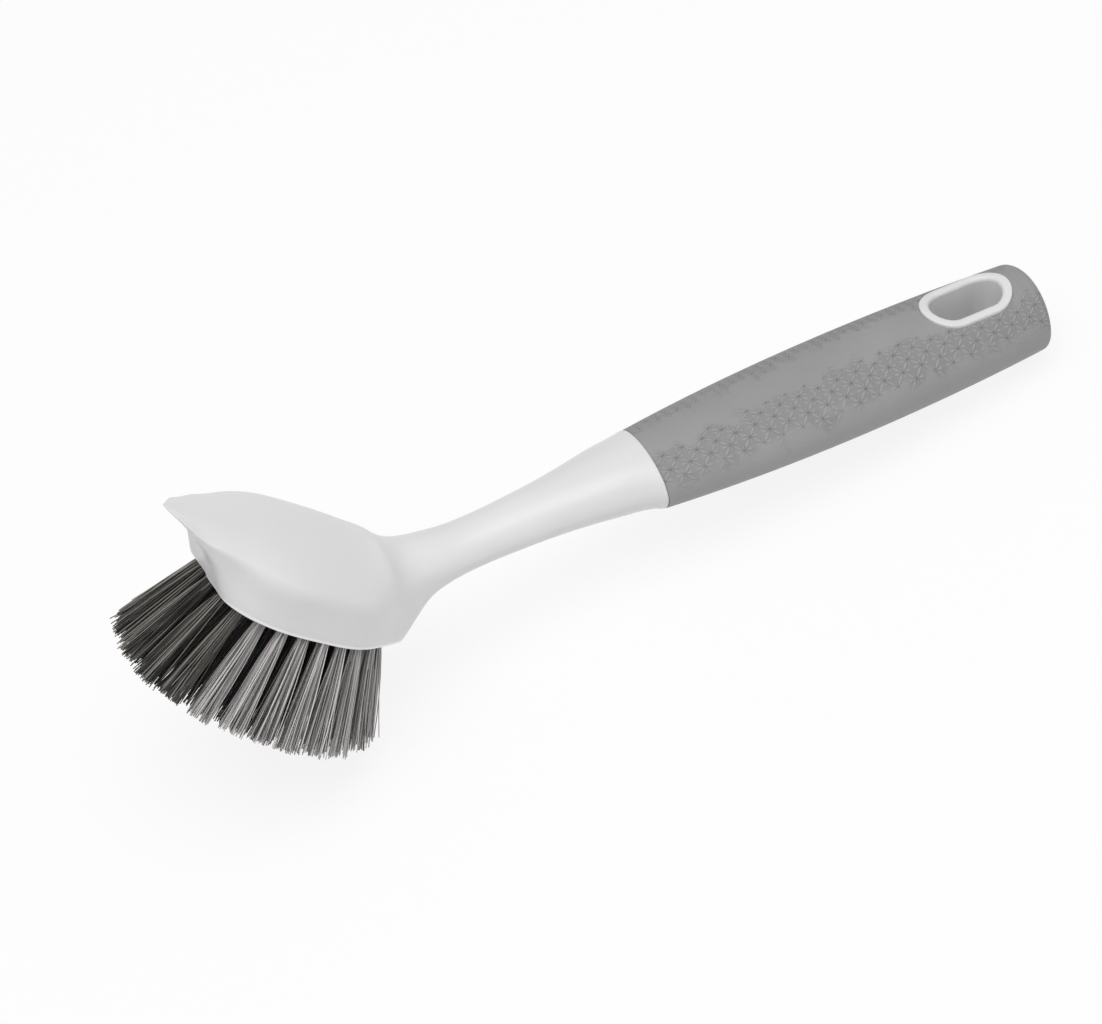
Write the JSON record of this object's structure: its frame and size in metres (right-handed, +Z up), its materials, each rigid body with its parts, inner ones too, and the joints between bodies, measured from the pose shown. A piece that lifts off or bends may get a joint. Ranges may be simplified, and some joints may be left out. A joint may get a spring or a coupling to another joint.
{
  "type": "dish wand",
  "caption": "Dish brush with a tilted white head and scraper beak, a fan of light and dark bristle tufts, and a soft grey grip with a slotted hanging hole.",
  "frame": {"origin": "On the surface that the brush rests on, midway between its foremost bristle tips and its tail, in its plane of symmetry.", "axes": "+X runs from the head to the tail, +Y across the brush, +Z up from the surface. The brush lies on its bristle tips and its tail."},
  "size_m": [0.2762, 0.0652, 0.1],
  "materials": {
    "white_plastic": "smooth moulded white, soft gloss",
    "grey_rubber": "matt grey soft grip with a fine star lattice",
    "light_bristle": "light grey crimp-free filament",
    "dark_bristle": "charcoal filament",
    "anchor_metal": "plain flat wire"
  },
  "bodies": {
    "root": {"grip_sleeve": "grey_rubber", "handle_body": "white_plastic", "tuft_anchors": "anchor_metal", "tuft_centre_01": "dark_bristle", "tuft_centre_02": "dark_bristle", "tuft_centre_03": "dark_bristle", "tuft_outer_01": "dark_bristle", "tuft_outer_02": "dark_bristle", "tuft_outer_03": "dark_bristle", "tuft_outer_04": "light_bristle", "tuft_outer_05": "light_bristle", "tuft_outer_06": "light_bristle", "tuft_outer_07": "light_bristle", "tuft_outer_08": "light_bristle", "tuft_outer_09": "light_bristle", "tuft_outer_10": "light_bristle", "tuft_outer_11": "light_bristle", "tuft_outer_12": "light_bristle", "tuft_outer_13": "light_bristle", "tuft_outer_14": "light_bristle", "tuft_outer_15": "light_bristle", "tuft_outer_16": "light_bristle", "tuft_outer_17": "light_bristle", "tuft_outer_18": "light_bristle", "tuft_outer_19": "light_bristle", "tuft_outer_20": "light_bristle", "tuft_outer_21": "light_bristle", "tuft_outer_22": "light_bristle", "tuft_outer_23": "dark_bristle", "tuft_outer_24": "dark_bristle", "tuft_second_01": "dark_bristle", "tuft_second_02": "dark_bristle", "tuft_second_03": "dark_bristle", "tuft_second_04": "dark_bristle", "tuft_second_05": "dark_bristle", "tuft_second_06": "dark_bristle", "tuft_second_07": "dark_bristle", "tuft_second_08": "dark_bristle", "tuft_second_09": "dark_bristle", "tuft_second_10": "dark_bristle", "tuft_second_11": "dark_bristle", "tuft_second_12": "dark_bristle", "tuft_second_13": "dark_bristle", "tuft_second_14": "dark_bristle", "tuft_second_15": "dark_bristle", "tuft_second_16": "dark_bristle", "tuft_second_17": "dark_bristle", "tuft_second_18": "dark_bristle", "tuft_third_01": "light_bristle", "tuft_third_02": "light_bristle", "tuft_third_03": "light_bristle", "tuft_third_04": "light_bristle", "tuft_third_05": "light_bristle", "tuft_third_06": "light_bristle", "tuft_third_07": "light_bristle", "tuft_third_08": "light_bristle", "tuft_third_09": "light_bristle", "tuft_third_10": "light_bristle", "tuft_third_11": "light_bristle"}
  },
  "joints": []
}
